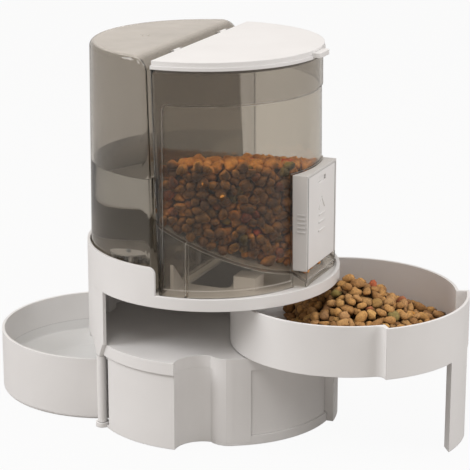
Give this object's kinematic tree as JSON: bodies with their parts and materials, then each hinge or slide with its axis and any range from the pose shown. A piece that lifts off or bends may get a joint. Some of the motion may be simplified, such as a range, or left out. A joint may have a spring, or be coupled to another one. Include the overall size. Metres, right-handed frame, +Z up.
{
  "type": "pet food and water dispenser",
  "caption": "Round tower of clear water tank and food bin over two trays that swing out, one for food and one for water.",
  "frame": {"origin": "on the table, on the axis of the round deck and base", "axes": "+Z up, front of the object facing -Y, food tray swung out towards +X"},
  "size_m": [0.4148, 0.3088, 0.335],
  "materials": {
    "white_plastic": "satin moulded",
    "smoke_plastic": "clear smoke grey, polished",
    "rubber": "matt",
    "steel": "plated",
    "valve_plastic": "smooth"
  },
  "bodies": {
    "stand": {"base_shell": "white_plastic", "base_feet": "rubber", "base_screws": "steel", "shelf": "white_plastic", "shelf_screws": "steel", "upper_wall": "white_plastic", "deck": "white_plastic", "deck_screws": "steel", "water_pivot_pin": "steel", "food_pivot_pin": "steel"},
    "food_tray": {"food_tray": "white_plastic"},
    "water_tray": {"water_tray": "white_plastic"},
    "tank": {"water_tank": "smoke_plastic"},
    "cap": {"tank_cap": "white_plastic", "cap_gasket": "rubber", "valve_spring": "steel"},
    "valve": {"valve_plunger": "valve_plastic", "valve_seal": "rubber"},
    "bin": {"food_bin": "smoke_plastic", "outlet_frame": "white_plastic", "lid_hinge_pins": "steel"},
    "gate": {"outlet_gate": "white_plastic"},
    "lid": {"bin_lid": "white_plastic"}
  },
  "joints": [
    {"name": "food_tray_swing", "type": "hinge", "parent": "stand", "child": "food_tray", "pos_m": [0.08396, 0.05879, 0.1], "axis": [0, 0, 1], "range_deg": [-71, 0]},
    {"name": "water_tray_swing", "type": "hinge", "parent": "stand", "child": "water_tray", "pos_m": [-0.09699, -0.044, 0.03], "axis": [0, 0, 1], "range_deg": [-60.3, 0]},
    {"name": "tank_lift", "type": "slide", "parent": "stand", "child": "tank", "axis": [0, 0, 1], "range_m": [0, 0.04]},
    {"name": "cap_turn", "type": "hinge", "parent": "tank", "child": "cap", "pos_m": [-0.05339, 0.02266, 0.1285], "axis": [0, 0, 1], "range_deg": [0, 90]},
    {"name": "valve_slide", "type": "slide", "parent": "cap", "child": "valve", "axis": [0, 0, 1], "range_m": [0, 0.0015], "stiffness_N_per_m": 40, "deforming": ["valve_spring"]},
    {"name": "bin_lift", "type": "slide", "parent": "stand", "child": "bin", "axis": [0, 0, 1], "range_m": [0, 0.04]},
    {"name": "gate_slide", "type": "slide", "parent": "bin", "child": "gate", "axis": [0, 0, -1], "range_m": [0, 0.0075]},
    {"name": "lid_hinge", "type": "hinge", "parent": "bin", "child": "lid", "pos_m": [-0.0116, 0.00492, 0.331], "axis": [-0.3907, -0.9205, 0], "range_deg": [0, 90]}
  ]
}
